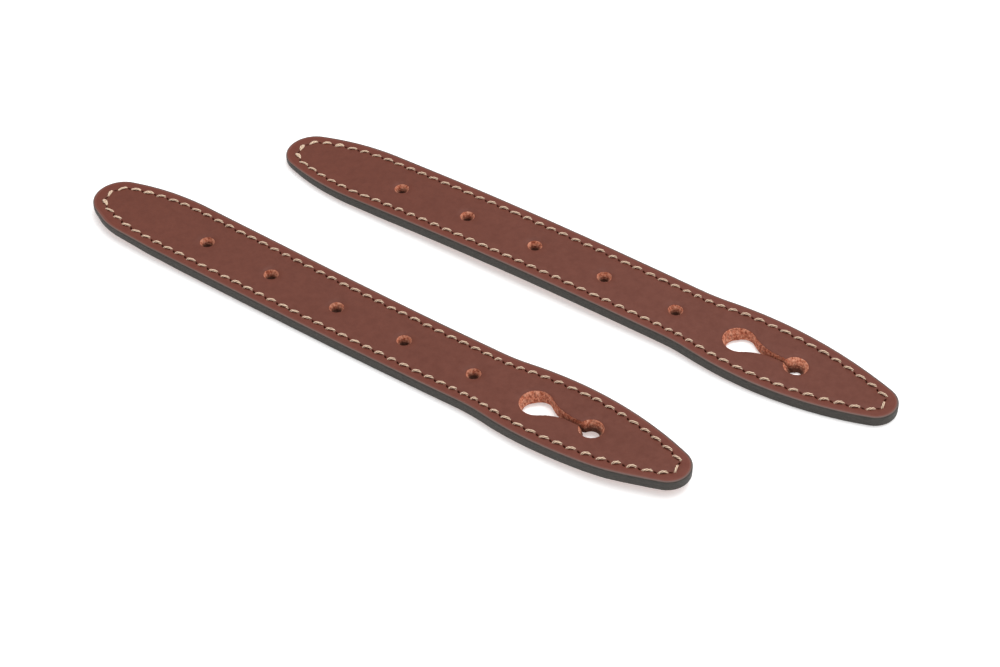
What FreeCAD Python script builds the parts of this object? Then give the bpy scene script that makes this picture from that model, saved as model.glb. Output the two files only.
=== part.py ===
"""A pair of flat leather fastening straps for a bag.

Each strap is a top leather and a lining, laminated, lockstitched all round and painted on its edge. It has a row
of punched adjusting holes, and a keyhole at its leaf-shaped end that a ball stud is pushed through.
The strap's own frame: +X from the tail tip to the head tip, +Y across, +Z up from the underside of the lining.
The keyhole end is a body of its own, so that the strap can flex at its waist, just behind the keyhole.
"""
import FreeCAD
import Part
import math
import os

import Sketcher

V = FreeCAD.Vector
UP = V(0, 0, 1)
OUT = "parts"

# alias, value in mm (or degrees, or a count), meaning
DIMENSIONS = [
    ("strap_length", 216.0, "tail tip to head tip"),
    ("tail_radius", 8.74, "round of the tail tip"),
    ("shoulder_station", 32.85, "where the tail's curve meets the straight side"),
    ("shoulder_half", 12.54, "half width at the shoulder, the widest place of the strap"),
    ("waist_station", 145.27, "where the straight side ends"),
    ("waist_half", 11.8, "half width at the waist"),
    ("waist_radius", 64.65, "hollow curve between the side and the head"),
    ("head_radius", 114.4, "full curve of the leaf-shaped head"),
    ("nose_radius", 7.06, "round of the head tip"),
    ("lining_thickness", 1.6, "lower layer"),
    ("top_thickness", 1.8, "upper layer"),
    ("edge_film", 0.25, "thickness of the edge paint"),
    ("film_lift", 0.1, "the paint stops this far short of both faces"),
    ("hole_count", 5, "adjusting holes in a row"),
    ("first_hole", 43.55, "tail tip to the first hole"),
    ("hole_pitch", 25.0, "hole to hole"),
    ("hole_radius", 2.25, "adjusting hole"),
    ("entry_station", 165.4, "tail tip to the keyhole's entry"),
    ("entry_radius", 5.0, "keyhole entry, passed by the stud's head"),
    ("seat_station", 184.2, "tail tip to the keyhole's seat"),
    ("seat_radius", 3.68, "keyhole seat, which holds the stud's neck"),
    ("neck_half", 0.87, "half width of the slit between them"),
    ("flank_radius", 17.0, "curve from the entry down to the slit"),
    ("split_station", 152.75, "where the head flexes"),
    ("split_gap", 0.2, "clearance there"),
    ("stitch_side", 3.2, "stitch line in from the long edges"),
    ("stitch_tip", 3.9, "stitch line in from both tips"),
    ("stitch_pitch", 4.43, "stitch length"),
    ("tuck", 0.85, "stitches are this much shorter round the waist"),
    ("tuck_station", 149.05, "where they are shortest"),
    ("tuck_spread", 8.0, "how far to each side they are shortened"),
    ("thread_radius", 0.38, "sewing thread"),
    ("thread_bend", 0.4, "radius of the thread's turn into a needle hole"),
    ("needle_radius", 0.8, "needle hole"),
    ("thread_gap", 0.05, "half the gap where the two threads lock in the middle"),
    ("groove_width", 1.9, "stitching groove under the lining"),
    ("groove_depth", 0.8, "the lower thread lies wholly inside it"),
    ("near_x", -124.92, "near strap's tail tip"),
    ("near_y", -28.07, "near strap's middle line"),
    ("far_x", -91.06, "far strap's tail tip"),
    ("far_y", 25.48, "far strap's middle line, at the tail tip"),
    ("far_turn", 0.86, "far strap's heading from +X, in degrees"),
]


def make_sheet(doc):
    """The spreadsheet of driving dimensions, and the same values by alias."""
    sheet = doc.addObject("Spreadsheet::Sheet", "Dims")
    for row, (alias, value, meaning) in enumerate(DIMENSIONS, start=1):
        sheet.set("A%d" % row, alias)
        sheet.set("B%d" % row, str(value))
        sheet.set("C%d" % row, meaning)
        sheet.setAlias("B%d" % row, alias)
    doc.recompute()
    return sheet, {alias: float(sheet.get(alias)) for alias, _, _ in DIMENSIONS}


# ---- the outline: tangent arcs from the tail tip, over the upper side, to the head tip ----


def unit(a):
    return V(a).normalize()


def outline(d):
    """Centres and radii of the half outline's arcs, and the two ends of its straight side."""
    shoulder = V(d["shoulder_station"], d["shoulder_half"], 0)
    waist = V(d["waist_station"], d["waist_half"], 0)
    along = unit(waist - shoulder)
    normal = V(-along.y, along.x, 0)
    tail_c = V(d["tail_radius"], 0, 0)
    q = shoulder - tail_c
    side_r = (q.dot(q) - d["tail_radius"] ** 2) / (2 * (q.dot(normal) - d["tail_radius"]))
    waist_c = waist + normal * d["waist_radius"]
    nose_c = V(d["strap_length"] - d["nose_radius"], 0, 0)
    gap = nose_c - waist_c
    from_waist = d["waist_radius"] + d["head_radius"]
    from_nose = d["head_radius"] - d["nose_radius"]
    along_gap = (from_waist**2 - from_nose**2 + gap.Length**2) / (2 * gap.Length)
    off_gap = math.sqrt(from_waist**2 - along_gap**2)
    g = unit(gap)
    head_c = waist_c + g * along_gap + V(g.y, -g.x, 0) * off_gap
    return {
        "side": (shoulder - normal * side_r, side_r),
        "line": (shoulder, waist, normal),
        "waist": (waist_c, d["waist_radius"]),
        "head": (head_c, d["head_radius"]),
    }


def half_path(d, side_inset, tip_inset):
    """The upper half outline moved inwards: [("arc", centre, radius, start, end)] and one ("line", start, end)."""
    o = outline(d)
    side_c, side_r = o["side"][0], o["side"][1] - side_inset
    shoulder, waist, normal = o["line"]
    waist_c, waist_r = o["waist"][0], o["waist"][1] + side_inset
    head_c, head_r = o["head"][0], o["head"][1] - side_inset
    tail_tip = V(tip_inset, 0, 0)
    head_tip = V(d["strap_length"] - tip_inset, 0, 0)
    reach = side_c.x - tail_tip.x
    tail_r = (side_r**2 - reach**2 - side_c.y**2) / (2 * (side_r - reach))
    tail_c = tail_tip + V(tail_r, 0, 0)
    reach = head_tip.x - head_c.x
    nose_r = (head_r**2 - reach**2 - head_c.y**2) / (2 * (head_r - reach))
    nose_c = head_tip - V(nose_r, 0, 0)
    tail_end = side_c + unit(tail_c - side_c) * side_r
    side_end = shoulder - normal * side_inset
    line_end = waist - normal * side_inset
    waist_end = waist_c + unit(head_c - waist_c) * waist_r
    head_end = head_c + unit(nose_c - head_c) * head_r
    return [
        ("arc", tail_c, tail_r, tail_tip, tail_end),
        ("arc", side_c, side_r, tail_end, side_end),
        ("line", side_end, line_end),
        ("arc", waist_c, waist_r, line_end, waist_end),
        ("arc", head_c, head_r, waist_end, head_end),
        ("arc", nose_c, nose_r, head_end, head_tip),
    ]


def angles(centre, start, end):
    """Start and end angle of an arc of less than half a turn, anticlockwise."""
    a = math.atan2(start.y - centre.y, start.x - centre.x)
    b = math.atan2(end.y - centre.y, end.x - centre.x)
    turn = (b - a + math.pi) % (2 * math.pi) - math.pi
    return (a, a + turn) if turn > 0 else (a + turn, a)


def sketch_geometry(piece, mirror=False):
    """A sketch line or arc for one segment of half_path, on the upper or the mirrored side."""
    flip = (lambda p: V(p.x, -p.y, 0)) if mirror else (lambda p: V(p))
    if piece[0] == "line":
        return Part.LineSegment(flip(piece[1]), flip(piece[2]))
    _, centre, radius, start, end = piece
    a, b = angles(flip(centre), flip(start), flip(end))
    return Part.ArcOfCircle(Part.Circle(flip(centre), UP, radius), a, b)


def stitch_stations(d):
    """Needle holes along the upper half of the stitch line: (x, y). A stitch straddles each tip."""
    points = []
    for piece in half_path(d, d["stitch_side"], d["stitch_tip"]):
        if piece[0] == "line":
            edge = Part.LineSegment(piece[1], piece[2]).toShape()
        else:
            _, centre, radius, start, end = piece
            middle = centre + unit((start + end) * 0.5 - centre) * radius
            edge = Part.Arc(start, middle, end).toShape()
        run = edge.discretize(Number=max(int(edge.Length / 0.02), 8))
        points += run if not points else run[1:]
    reach = [0.0]
    for a, b in zip(points[:-1], points[1:]):
        reach.append(reach[-1] + (b - a).Length)

    def pitch(x):
        away = (x - d["tuck_station"]) / d["tuck_spread"]
        return d["stitch_pitch"] - d["tuck"] * math.exp(-away * away)

    # count stitches along the line, then stretch the count to a whole number
    count = [0.0]
    for a, b, s0, s1 in zip(points[:-1], points[1:], reach[:-1], reach[1:]):
        count.append(count[-1] + (s1 - s0) / pitch((a.x + b.x) / 2))
    whole = round(count[-1])
    stations, i = [], 0
    for k in range(whole):
        target = (k + 0.5) * count[-1] / whole
        while count[i + 1] < target:
            i += 1
        t = (target - count[i]) / (count[i + 1] - count[i])
        stations.append(points[i] + (points[i + 1] - points[i]) * t)
    return stations


def needle_ring(d):
    """All needle holes in order round the strap, from just above the tail tip."""
    upper = stitch_stations(d)
    return upper + [V(p.x, -p.y, 0) for p in reversed(upper)]


# ---- PartDesign helpers ----


def origin_feature(body, role):
    return next(f for f in body.Origin.OriginFeatures if f.Role == role)


def new_sketch(body, name):
    sketch = body.newObject("Sketcher::SketchObject", name)
    sketch.AttachmentSupport = [(origin_feature(body, "XY_Plane"), "")]
    sketch.MapMode = "FlatFace"
    return sketch


def bind(sketch, kind, args, name, expression):
    """Add a dimension to a sketch and drive it from the sheet."""
    value = args[-1]
    index = sketch.addConstraint(Sketcher.Constraint(kind, *args[:-1], value))
    sketch.renameConstraint(index, name)
    sketch.setExpression("Constraints." + name, expression)


def half_outline_sketch(body, name, d, inset_name=None):
    """The closed upper half of the outline, moved inwards by one sheet value, or not at all."""
    inset = d[inset_name] if inset_name else 0.0
    less = " - Dims.%s" % inset_name if inset_name else ""
    more = " + Dims.%s" % inset_name if inset_name else ""
    sketch = new_sketch(body, name)
    path = half_path(d, inset, inset)
    for piece in path:
        sketch.addGeometry(sketch_geometry(piece), False)
    tail, side, line, waist, head, nose, base = range(7)
    sketch.addGeometry(Part.LineSegment(path[-1][-1], path[0][3]), False)
    for a, a_end, b, b_end in (
        (tail, 1, side, 2),
        (side, 1, line, 1),
        (line, 2, waist, 1),
        (waist, 2, head, 2),
        (head, 1, nose, 2),
    ):
        sketch.addConstraint(Sketcher.Constraint("Tangent", a, a_end, b, b_end))
    sketch.addConstraint(Sketcher.Constraint("Coincident", nose, 1, base, 1))
    sketch.addConstraint(Sketcher.Constraint("Coincident", base, 2, tail, 2))
    if inset_name:
        sketch.addConstraint(Sketcher.Constraint("PointOnObject", base, 2, -1))
        bind(sketch, "DistanceX", (-1, 1, base, 2, inset), "tail_start", "Dims." + inset_name)
    else:
        sketch.addConstraint(Sketcher.Constraint("Coincident", base, 2, -1, 1))
    sketch.addConstraint(Sketcher.Constraint("Horizontal", base))
    sketch.addConstraint(Sketcher.Constraint("PointOnObject", tail, 3, -1))
    sketch.addConstraint(Sketcher.Constraint("PointOnObject", nose, 3, -1))
    length = d["strap_length"] - 2 * inset
    twice = " - 2 * Dims.%s" % inset_name if inset_name else ""
    bind(sketch, "DistanceX", (base, 2, base, 1, length), "overall", "Dims.strap_length" + twice)
    bind(sketch, "Radius", (tail, path[0][2]), "tail_r", "Dims.tail_radius" + less)
    bind(sketch, "Radius", (waist, path[3][2]), "waist_r", "Dims.waist_radius" + more)
    bind(sketch, "Radius", (head, path[4][2]), "head_r", "Dims.head_radius" + less)
    bind(sketch, "Radius", (nose, path[5][2]), "nose_r", "Dims.nose_radius" + less)
    shoulder, hollow = d["shoulder_half"] - inset, d["waist_half"] - inset
    bind(sketch, "DistanceX", (-1, 1, line, 1, d["shoulder_station"]), "shoulder_x", "Dims.shoulder_station")
    bind(sketch, "DistanceY", (-1, 1, line, 1, shoulder), "shoulder_y", "Dims.shoulder_half" + less)
    bind(sketch, "DistanceX", (-1, 1, line, 2, d["waist_station"]), "waist_x", "Dims.waist_station")
    bind(sketch, "DistanceY", (-1, 1, line, 2, hollow), "waist_y", "Dims.waist_half" + less)
    return sketch


def blank(doc, name, d, inset_name, thickness):
    """A body with the whole outline: the upper half padded, then mirrored across the middle line."""
    body = doc.addObject("PartDesign::Body", name)
    pad = body.newObject("PartDesign::Pad", name + "_pad")
    pad.Profile = half_outline_sketch(body, name + "_half", d, inset_name)
    pad.setExpression("Length", thickness)
    mirrored = body.newObject("PartDesign::Mirrored", name + "_whole")
    mirrored.Originals = [pad]
    mirrored.MirrorPlane = (origin_feature(body, "XZ_Plane"), [""])
    body.Tip = mirrored
    doc.recompute()
    return body


def pocket(doc, body, sketch, name, depth=None):
    """Cut a sketch up through the body, or to a depth above its underside."""
    before = body.Shape.Volume
    cut = body.newObject("PartDesign::Pocket", name)
    cut.Profile = sketch
    cut.Reversed = True
    if depth:
        cut.Type = "Length"
        cut.setExpression("Length", depth)
    else:
        cut.Type = "ThroughAll"
    body.Tip = cut
    doc.recompute()
    if not body.Shape.Volume < before - 1e-3:
        raise RuntimeError("%s cuts nothing" % name)
    return cut


def split_sketch(body, name, d, keep_head):
    """A rectangle over the end of the strap that this body leaves to the other one."""
    sketch = new_sketch(body, name)
    spare = 20.0
    half = d["shoulder_half"] + spare
    if keep_head:
        near_end, far_end = d["split_station"] + d["split_gap"], -spare
        edge = "Dims.split_station + Dims.split_gap"
    else:
        near_end, far_end = d["split_station"], d["strap_length"] + spare
        edge = "Dims.split_station"
    corners = [V(near_end, -half, 0), V(near_end, half, 0), V(far_end, half, 0), V(far_end, -half, 0)]
    for a, b in zip(corners, corners[1:] + corners[:1]):
        sketch.addGeometry(Part.LineSegment(a, b), False)
    for i in range(4):
        sketch.addConstraint(Sketcher.Constraint("Coincident", i, 2, (i + 1) % 4, 1))
    for i in (0, 2):
        sketch.addConstraint(Sketcher.Constraint("Vertical", i))
    for i in (1, 3):
        sketch.addConstraint(Sketcher.Constraint("Horizontal", i))
    bind(sketch, "DistanceX", (-1, 1, 0, 1, near_end), "split", edge)
    return sketch


def adjusting_holes(doc, body, name, d):
    """One hole cut with a bound circle, then repeated along the strap."""
    sketch = new_sketch(body, name + "_circle")
    sketch.addGeometry(Part.Circle(V(d["first_hole"], 0, 0), UP, d["hole_radius"]), False)
    sketch.addConstraint(Sketcher.Constraint("PointOnObject", 0, 3, -1))
    bind(sketch, "DistanceX", (-1, 1, 0, 3, d["first_hole"]), "station", "Dims.first_hole")
    bind(sketch, "Radius", (0, d["hole_radius"]), "size", "Dims.hole_radius")
    hole = pocket(doc, body, sketch, name + "_hole")
    before = body.Shape.Volume
    row = body.newObject("PartDesign::LinearPattern", name + "_row")
    row.Originals = [hole]
    row.Direction = (sketch, ["H_Axis"])
    row.setExpression("Length", "(Dims.hole_count - 1) * Dims.hole_pitch")
    row.setExpression("Occurrences", "Dims.hole_count")
    body.Tip = row
    doc.recompute()
    if not body.Shape.Volume < before - 1e-3:
        raise RuntimeError("%s_row cuts nothing" % name)


def keyhole(doc, body, name, d):
    """Entry circle, curved flanks, slit and seat circle in one closed sketch."""
    entry, seat = V(d["entry_station"], 0, 0), V(d["seat_station"], 0, 0)
    neck, flank_r = d["neck_half"], d["flank_radius"]
    rise = neck + flank_r
    run = math.sqrt((d["entry_radius"] + flank_r) ** 2 - rise**2)
    flank_c = entry + V(run, rise, 0)
    touch = entry + unit(flank_c - entry) * d["entry_radius"]
    slit_a = V(flank_c.x, neck, 0)
    slit_b = seat + V(-math.sqrt(d["seat_radius"] ** 2 - neck**2), neck, 0)

    def low(p):
        return V(p.x, -p.y, 0)

    def arc(centre, radius, a, b):
        a0 = math.atan2(a.y - centre.y, a.x - centre.x)
        b0 = math.atan2(b.y - centre.y, b.x - centre.x)
        return Part.ArcOfCircle(Part.Circle(centre, UP, radius), a0, b0 if b0 > a0 else b0 + 2 * math.pi)

    sketch = new_sketch(body, name + "_outline")
    big, up_flank, up_slit, small, low_slit, low_flank = range(6)
    for item in (
        arc(entry, d["entry_radius"], touch, low(touch)),
        arc(flank_c, flank_r, touch, slit_a),
        Part.LineSegment(slit_a, slit_b),
        arc(seat, d["seat_radius"], low(slit_b), slit_b),
        Part.LineSegment(low(slit_b), low(slit_a)),
        arc(low(flank_c), flank_r, low(slit_a), low(touch)),
    ):
        sketch.addGeometry(item, False)
    for kind, a, a_end, b, b_end in (
        ("Tangent", big, 1, up_flank, 1),
        ("Tangent", up_flank, 2, up_slit, 1),
        ("Coincident", up_slit, 2, small, 2),
        ("Coincident", small, 1, low_slit, 1),
        ("Tangent", low_slit, 2, low_flank, 1),
        ("Tangent", low_flank, 2, big, 2),
    ):
        sketch.addConstraint(Sketcher.Constraint(kind, a, a_end, b, b_end))
    for circle in (big, small):
        sketch.addConstraint(Sketcher.Constraint("PointOnObject", circle, 3, -1))
    sketch.addConstraint(Sketcher.Constraint("Horizontal", up_slit))
    sketch.addConstraint(Sketcher.Constraint("Horizontal", low_slit))
    bind(sketch, "DistanceX", (-1, 1, big, 3, entry.x), "entry_x", "Dims.entry_station")
    bind(sketch, "DistanceX", (-1, 1, small, 3, seat.x), "seat_x", "Dims.seat_station")
    bind(sketch, "Radius", (big, d["entry_radius"]), "entry_r", "Dims.entry_radius")
    bind(sketch, "Radius", (small, d["seat_radius"]), "seat_r", "Dims.seat_radius")
    bind(sketch, "Radius", (up_flank, flank_r), "upper_flank", "Dims.flank_radius")
    bind(sketch, "Radius", (low_flank, flank_r), "lower_flank", "Dims.flank_radius")
    bind(sketch, "DistanceY", (-1, 1, up_slit, 1, neck), "upper_neck", "Dims.neck_half")
    bind(sketch, "DistanceY", (low_slit, 1, -1, 1, neck), "lower_neck", "Dims.neck_half")
    pocket(doc, body, sketch, name)


def needle_holes(doc, body, name, d, keep_head):
    """The needle holes on this body's side of the flex line."""
    sketch = new_sketch(body, name + "_circles")
    for p in needle_ring(d):
        if (p.x > d["split_station"]) == keep_head:
            sketch.addGeometry(Part.Circle(p, UP, d["needle_radius"]), False)
    pocket(doc, body, sketch, name)


def stitching_groove(doc, body, name, d):
    """The channel under the lining that the lower thread lies in."""
    sketch = new_sketch(body, name + "_ring")
    for way in (-0.5, 0.5):
        shift = way * d["groove_width"]
        for piece in half_path(d, d["stitch_side"] + shift, d["stitch_tip"] + shift):
            sketch.addGeometry(sketch_geometry(piece), False)
            sketch.addGeometry(sketch_geometry(piece, mirror=True), False)
    pocket(doc, body, sketch, name, depth="Dims.groove_depth")


# ---- the pieces of one strap ----


def place(obj, where, lift):
    """Put a piece of a strap, made in the strap's own frame, where the strap lies."""
    x, y, turn = where
    obj.Placement = FreeCAD.Placement(V(x, y, lift), FreeCAD.Rotation(UP, turn))


def leather(doc, name, d, where, is_top, keep_head):
    """One layer of leather, on one side of the flex line."""
    thickness = "Dims.top_thickness" if is_top else "Dims.lining_thickness"
    body = blank(doc, name, d, "edge_film", thickness)
    pocket(doc, body, split_sketch(body, name + "_end", d, keep_head), name + "_split")
    if keep_head:
        keyhole(doc, body, name + "_keyhole", d)
    else:
        adjusting_holes(doc, body, name + "_adjust", d)
    if not is_top:
        stitching_groove(doc, body, name + "_groove", d)
    needle_holes(doc, body, name + "_needle", d, keep_head)
    place(body, where, d["lining_thickness"] if is_top else 0.0)
    return body


def edge_paint(doc, name, d, where):
    """The film on the edge all round: the whole outline less the leather's outline."""
    height = "Dims.lining_thickness + Dims.top_thickness - 2 * Dims.film_lift"
    film = doc.addObject("Part::Cut", name)
    film.Base = blank(doc, name + "_outer", d, None, height)
    film.Tool = blank(doc, name + "_inner", d, "edge_film", height)
    doc.recompute()
    place(film, where, d["film_lift"])
    return film


def stitch(a, b, face, way, depth, d):
    """One stitch between two needle holes: a leg out of a, over the face (way +1 up, -1 down), and into b."""
    along = unit(b - a)
    bend = d["thread_bend"]

    def at(s, z):
        return a + along * s + V(0, 0, z)

    first, last = bend, (b - a).Length - bend
    foot, crest = face - way * depth, face + way * bend
    slope = bend * math.sqrt(0.5)
    path = [
        Part.LineSegment(at(first, foot), at(first, face)).toShape(),
        Part.Arc(
            at(first, face),
            at(first + bend - slope, face + way * slope),
            at(first + bend, crest),
        ).toShape(),
        Part.LineSegment(at(first + bend, crest), at(last - bend, crest)).toShape(),
        Part.Arc(
            at(last - bend, crest),
            at(last - bend + slope, face + way * slope),
            at(last, face),
        ).toShape(),
        Part.LineSegment(at(last, face), at(last, foot)).toShape(),
    ]
    section = Part.Wire([Part.makeCircle(d["thread_radius"], at(first, foot), UP)])
    return Part.Wire(path).makePipeShell([section], True, False)


def thread(doc, name, d, where, is_needle):
    """All stitches of one thread: the needle thread on top, or the bobbin thread in its groove."""
    total = d["lining_thickness"] + d["top_thickness"]
    if is_needle:
        face, way = total, 1
        depth = total / 2 - d["thread_gap"]
    else:
        face, way = d["groove_depth"], -1
        depth = total / 2 - d["thread_gap"] - face
    ring = needle_ring(d)
    stitches = []
    for a, b in zip(ring, ring[1:] + ring[:1]):
        stitches.append(stitch(a, b, face, way, depth, d))
    run = doc.addObject("Part::Feature", name)
    run.Shape = Part.makeCompound(stitches)
    place(run, where, 0.0)
    return run


def strap(doc, side, d, where):
    """The seven pieces of one strap, by node name."""
    made = []
    for layer, is_top in (("top_leather", True), ("lining_leather", False)):
        made.append(leather(doc, "%s_%s" % (side, layer), d, where, is_top, keep_head=False))
        made.append(leather(doc, "%s_%s_tab" % (side, layer), d, where, is_top, keep_head=True))
    made.append(edge_paint(doc, side + "_edge_paint", d, where))
    made.append(thread(doc, side + "_needle_thread", d, where, is_needle=True))
    made.append(thread(doc, side + "_bobbin_thread", d, where, is_needle=False))
    return made


def main():
    doc = FreeCAD.newDocument("fastening_straps")
    _, d = make_sheet(doc)
    pieces = strap(doc, "near", d, (d["near_x"], d["near_y"], 0.0))
    pieces += strap(doc, "far", d, (d["far_x"], d["far_y"], d["far_turn"]))
    doc.recompute()
    for obj in doc.Objects:
        bad = {"Invalid", "Error"} & set(obj.State)
        if bad:
            raise RuntimeError("%s is %s" % (obj.Name, ", ".join(sorted(bad))))
    for piece in pieces:
        if piece.Shape.isNull() or not piece.Shape.isValid() or not piece.Shape.Solids:
            raise RuntimeError("%s has no valid shape" % piece.Label)
    os.makedirs(OUT, exist_ok=True)
    for piece in pieces:
        piece.Shape.exportStep("%s/%s.step" % (OUT, piece.Label))
        box = piece.Shape.BoundBox
        print(
            "%-28s %4d solids %9.2f mm3  x %.2f..%.2f  y %.2f..%.2f  z %.2f..%.2f"
            % (piece.Label, len(piece.Shape.Solids), piece.Shape.Volume,
               box.XMin, box.XMax, box.YMin, box.YMax, box.ZMin, box.ZMax)
        )


main()
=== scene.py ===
"""The looks of a pair of stitched leather fastening straps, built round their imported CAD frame.

Every shape is worked out in a strap's own frame, in millimetres: +X from the tail tip to the head tip, and +Z
up from the underside. It is put where that strap lies when its mesh is written, in metres.
"""

import math

import bpy
import numpy as np
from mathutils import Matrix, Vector
from mathutils.geometry import delaunay_2d_cdt


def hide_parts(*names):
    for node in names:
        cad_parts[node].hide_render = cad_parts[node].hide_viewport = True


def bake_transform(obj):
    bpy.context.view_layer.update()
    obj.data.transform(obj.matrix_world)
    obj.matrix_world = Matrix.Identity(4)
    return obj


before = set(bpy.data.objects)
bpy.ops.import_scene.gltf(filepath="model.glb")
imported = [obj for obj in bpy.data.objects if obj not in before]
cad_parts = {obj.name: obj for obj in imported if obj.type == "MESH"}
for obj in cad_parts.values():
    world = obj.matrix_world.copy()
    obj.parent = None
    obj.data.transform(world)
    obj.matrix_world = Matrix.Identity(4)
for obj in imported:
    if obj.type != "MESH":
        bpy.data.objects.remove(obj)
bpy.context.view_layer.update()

MM = 0.001

# ---- the straps' dimensions, in mm, as in the CAD model ----

LENGTH = 216.0
TAIL_R = 8.74
SHOULDER = (32.85, 12.54)
WAIST = (145.27, 11.8)
WAIST_R = 64.65
HEAD_R = 114.4
NOSE_R = 7.06
LINING = 1.6
THICK = 3.4
HOLES = [43.55 + 25.0 * i for i in range(5)]
HOLE_R = 2.25
ENTRY_X, ENTRY_R = 165.4, 5.0
SEAT_X, SEAT_R = 184.2, 3.68
NECK_HALF, FLANK_R = 0.87, 17.0
FLEX_X, FLEX_HALF = 152.85, 11.0
STITCH_SIDE, STITCH_TIP = 3.2, 3.9
PITCH, TUCK, TUCK_X, TUCK_SPREAD = 4.43, 0.85, 149.05, 8.0

# ---- how the straps seen differ from the CAD model's ----

# the tail is thinned from below: by a share that grows over a run, and by a further share close to its tip
SKIVE_RUN, SKIVE = 44.0, 0.36
SKIVE_TIP_RUN, SKIVE_TIP = 6.0, 0.27
HEAD_RUN = 26  # the head's extra length is gained over this distance beyond the keyhole's seat
# about where the slit begins, how far on its walls begin to lean as the seat's do, and its own share of lean
SLIT_X, SLIT_RUN, SLIT_LEAN = 178.5, 1.8, 0.3
# on the floor: away from the camera, and to its right
FAR_WAY, RIGHT_WAY = np.array([-0.573, 0.82]), np.array([0.82, 0.573])

# at, turn: where the tail tip lies, and the turn in degrees
# rise: how much the top face, which is never quite flat, is raised at five even stations
# lean: how much of the walls' lean the round holes and the seat take, and how much more the seat's far side
# fuller: where the lower side stands further out: station, spread, half width there, by how much
# longer: how much longer the head is
STRAPS = {
    "near": {
        "at": (-124.92, -28.07),
        "turn": 0.0,
        "seed": 11,
        "rise": (0.75, 0.6, 0.1, 0.97, 2.27),
        "lean": (0.8, 0.95, 0.4),
        "fuller": [(13, 8, 9.5, 1.1), (198, 14, 11.0, 0.55)],
        "longer": 0.3,
    },
    "far": {
        "at": (-91.06, 25.48),
        "turn": 0.86,
        "seed": 23,
        "rise": (-0.8, 1.47, 1.97, 0.72, 0.22),
        "lean": (0.95, 1.7, 0.9),
        "fuller": [],
        "longer": 0.6,
    },
}
TEXTURE_SHIFT = 400.0  # the far strap takes its textures from this far away, so that the two aren't alike
for strap in STRAPS.values():
    strap["curve"] = np.polyfit(np.linspace(0, LENGTH, 5), strap["rise"], 4)


# ---- plane geometry ----


def unit(v):
    v = np.asarray(v, float)
    return v / np.linalg.norm(v)


def half_path(side, tip):
    """The upper half outline moved inwards: arcs (centre, radius, start, end) and one line (start, end)."""
    shoulder, waist = np.array(SHOULDER), np.array(WAIST)
    along = unit(waist - shoulder)
    normal = np.array([-along[1], along[0]])
    q = shoulder - [TAIL_R, 0]
    side_r = (q @ q - TAIL_R**2) / (2 * (q @ normal - TAIL_R))
    side_c = shoulder - normal * side_r
    waist_c = waist + normal * WAIST_R
    gap = np.array([LENGTH - NOSE_R, 0]) - waist_c
    a, b, c = WAIST_R + HEAD_R, HEAD_R - NOSE_R, np.linalg.norm(gap)
    reach = (a * a - b * b + c * c) / (2 * c)
    g = gap / c
    head_c = waist_c + g * reach + np.array([g[1], -g[0]]) * math.sqrt(a * a - reach * reach)
    side_r, waist_r, head_r = side_r - side, WAIST_R + side, HEAD_R - side
    tail_tip, head_tip = np.array([tip, 0.0]), np.array([LENGTH - tip, 0.0])
    reach = side_c[0] - tip
    tail_r = (side_r**2 - reach**2 - side_c[1] ** 2) / (2 * (side_r - reach))
    tail_c = tail_tip + [tail_r, 0]
    reach = head_tip[0] - head_c[0]
    nose_r = (head_r**2 - reach**2 - head_c[1] ** 2) / (2 * (head_r - reach))
    nose_c = head_tip - [nose_r, 0]
    tail_end = side_c + unit(tail_c - side_c) * side_r
    side_end, line_end = shoulder - normal * side, waist - normal * side
    waist_end = waist_c + unit(head_c - waist_c) * waist_r
    head_end = head_c + unit(nose_c - head_c) * head_r
    return [
        (tail_c, tail_r, tail_tip, tail_end),
        (side_c, side_r, tail_end, side_end),
        (side_end, line_end),
        (waist_c, waist_r, line_end, waist_end),
        (head_c, head_r, waist_end, head_end),
        (nose_c, nose_r, head_end, head_tip),
    ]


def angles(n):
    """n even angles round a full turn."""
    return np.linspace(0, 2 * math.pi, n, endpoint=False)


def arc_points(centre, radius, start, end, step):
    a = math.atan2(start[1] - centre[1], start[0] - centre[0])
    b = math.atan2(end[1] - centre[1], end[0] - centre[0])
    turn = (b - a + math.pi) % (2 * math.pi) - math.pi
    n = max(int(abs(turn) * radius / step), 2)
    t = a + turn * np.linspace(0, 1, n + 1)
    return np.c_[centre[0] + radius * np.cos(t), centre[1] + radius * np.sin(t)]


def polyline(path, step):
    """Points along a half path, from the tail tip to the head tip."""
    runs = []
    for piece in path:
        if len(piece) == 2:
            n = int(np.linalg.norm(piece[1] - piece[0]) / step)
            run = piece[0] + np.linspace(0, 1, n + 1)[:, None] * (piece[1] - piece[0])
        else:
            run = arc_points(*piece, step)
        runs.append(run if not runs else run[1:])
    return np.vstack(runs)


def even(points, step, closed=False):
    """The same line with evenly spaced points."""
    if closed:
        points = np.vstack([points, points[:1]])
    reach = np.r_[0, np.cumsum(np.linalg.norm(np.diff(points, axis=0), axis=1))]
    n = int(round(reach[-1] / step))
    t = np.linspace(0, reach[-1], n + 1)
    out = np.stack([np.interp(t, reach, points[:, k]) for k in range(points.shape[1])], 1)
    return out[:-1] if closed else out


def whole_loop(half, step):
    """A closed anticlockwise loop from the upper half line of a shape that is the same below."""
    low = half * [1, -1]
    return even(np.vstack([low, half[::-1][1:-1]]), step, closed=True)


def outward(loop):
    """Unit normals of a closed anticlockwise loop, pointing out of what it encloses."""
    d = np.roll(loop, -1, 0) - np.roll(loop, 1, 0)
    n = np.c_[d[:, 1], -d[:, 0]]
    return n / np.linalg.norm(n, axis=1)[:, None]


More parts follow.
